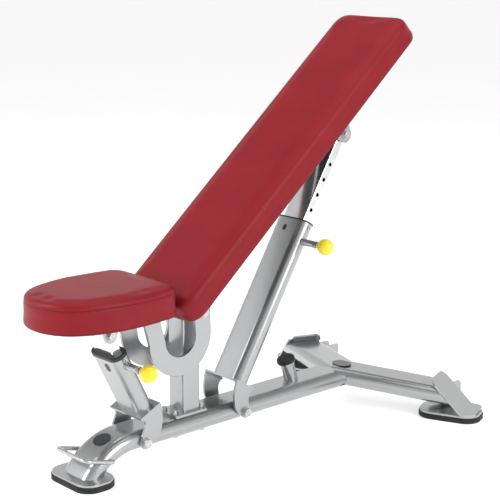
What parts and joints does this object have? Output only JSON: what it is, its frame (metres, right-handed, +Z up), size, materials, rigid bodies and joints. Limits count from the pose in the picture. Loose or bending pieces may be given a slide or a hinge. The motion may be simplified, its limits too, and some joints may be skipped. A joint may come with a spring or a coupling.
{
  "type": "adjustable weight bench",
  "caption": "Adjustable gym bench with red vinyl seat and backrest on a silver Y-shaped steel frame, telescopic struts and yellow pull-pin knobs.",
  "frame": {"origin": "centre of the footprint on the floor, under the middle of the bounding box", "axes": "+Z up, +Y from the seat towards the rear feet, +X towards the side with the pull-pin knobs"},
  "size_m": [0.7074, 1.136, 0.9906],
  "materials": {
    "frame_paint": "satin silver powder coat",
    "upholstery": "semi-matt red vinyl",
    "board": "black-faced plywood",
    "rubber": "matt black",
    "plastic_black": "matt black",
    "knob_yellow": "glossy yellow",
    "chrome": "polished chrome",
    "steel": "zinc-plated",
    "badge": "plain, no lettering",
    "wheel_core": "dark grey nylon"
  },
  "bodies": {
    "base": {"badges": "badge", "bumper_cap": "rubber", "bumper_stem": "frame_paint", "front_foot_plate": "frame_paint", "front_foot_rubber": "rubber", "hinge_axle": "steel", "hinge_spacers": "steel", "lift_handle": "steel", "main_tube": "frame_paint", "post": "frame_paint", "post_backing_plate": "frame_paint", "post_bolts": "steel", "rear_foot_plate_left": "frame_paint", "rear_foot_plate_right": "frame_paint", "rear_foot_rubber_left": "rubber", "rear_foot_rubber_right": "rubber", "rear_leg_left": "frame_paint", "rear_leg_right": "frame_paint", "strut_bolts": "steel", "wheel_axles": "steel", "wheel_brackets": "frame_paint"},
    "seat": {"hook_plate_left": "frame_paint", "hook_plate_right": "frame_paint", "seat_mount": "frame_paint", "seat_board": "board", "seat_cushion": "upholstery", "seat_screws": "steel", "seat_eye_bolt": "steel"},
    "backrest": {"back_rail_left": "frame_paint", "back_rail_right": "frame_paint", "back_mount_plates": "frame_paint", "back_board": "board", "back_cushion": "upholstery", "back_screws": "steel", "back_eye_bolts": "steel"},
    "seat_strut_outer": {"seat_sleeve": "frame_paint", "seat_bush": "plastic_black", "seat_guide_plug": "plastic_black", "seat_plunger_housing": "frame_paint", "seat_plunger_spring": "steel", "seat_sleeve_screws": "steel"},
    "seat_strut_inner": {"seat_inner_tube": "chrome", "seat_inner_caps": "plastic_black"},
    "seat_plunger": {"seat_plunger_pin": "steel", "seat_knob": "knob_yellow"},
    "back_strut_outer": {"back_sleeve": "frame_paint", "back_bush": "plastic_black", "back_guide_plug": "plastic_black", "back_plunger_housing": "frame_paint", "back_plunger_spring": "steel", "back_sleeve_screws": "steel"},
    "back_strut_inner": {"back_inner_tube": "chrome", "back_inner_caps": "plastic_black"},
    "back_plunger": {"back_plunger_pin": "steel", "back_knob": "knob_yellow"},
    "wheel_left": {"wheel_hub_left": "wheel_core", "wheel_tyre_left": "rubber"},
    "wheel_right": {"wheel_hub_right": "wheel_core", "wheel_tyre_right": "rubber"}
  },
  "joints": [
    {"name": "seat_tilt", "type": "hinge", "parent": "base", "child": "seat", "pos_m": [0, -0.144, 0.346], "axis": [-1, 0, 0], "range_deg": [0, 14]},
    {"name": "seat_strut_swing", "type": "hinge", "parent": "base", "child": "seat_strut_outer", "pos_m": [0, -0.316, 0.072], "axis": [-1, 0, 0], "range_deg": [0, 5.53]},
    {"name": "seat_strut_slide", "type": "slide", "parent": "seat_strut_outer", "child": "seat_strut_inner", "axis": [0, -0.4431, 0.8965], "range_m": [0, 0.0592]},
    {"name": "seat_pin_pull", "type": "slide", "parent": "seat_strut_outer", "child": "seat_plunger", "axis": [1, 0, 0], "range_m": [0, 0.012], "stiffness_N_per_m": 600, "springref_m": -0.01},
    {"name": "back_tilt", "type": "hinge", "parent": "base", "child": "backrest", "pos_m": [0, -0.144, 0.346], "axis": [1, 0, 0], "range_deg": [-40.2, 33.8]},
    {"name": "back_strut_swing", "type": "hinge", "parent": "base", "child": "back_strut_outer", "pos_m": [0, -0.014, 0.074], "axis": [1, 0, 0], "range_deg": [-31.48, 26.47]},
    {"name": "back_strut_slide", "type": "slide", "parent": "back_strut_outer", "child": "back_strut_inner", "axis": [0, 0.5195, 0.8545], "range_m": [-0.1741, 0.1464]},
    {"name": "back_pin_pull", "type": "slide", "parent": "back_strut_outer", "child": "back_plunger", "axis": [1, 0, 0], "range_m": [0, 0.012], "stiffness_N_per_m": 600, "springref_m": -0.01},
    {"name": "wheel_left_spin", "type": "hinge", "parent": "base", "child": "wheel_left", "pos_m": [-0.22, 0.545, 0.042], "axis": [1, 0, 0], "continuous": true},
    {"name": "wheel_right_spin", "type": "hinge", "parent": "base", "child": "wheel_right", "pos_m": [0.22, 0.545, 0.042], "axis": [1, 0, 0], "continuous": true}
  ],
  "couplings": [
    {"joint": "seat_strut_swing", "follows": "seat_tilt", "ratio": 0.39385},
    {"joint": "seat_strut_slide", "follows": "seat_tilt", "m_per_rad": 0.24174},
    {"joint": "back_strut_swing", "follows": "back_tilt", "ratio": 0.78286},
    {"joint": "back_strut_slide", "follows": "back_tilt", "m_per_rad": 0.24796}
  ]
}
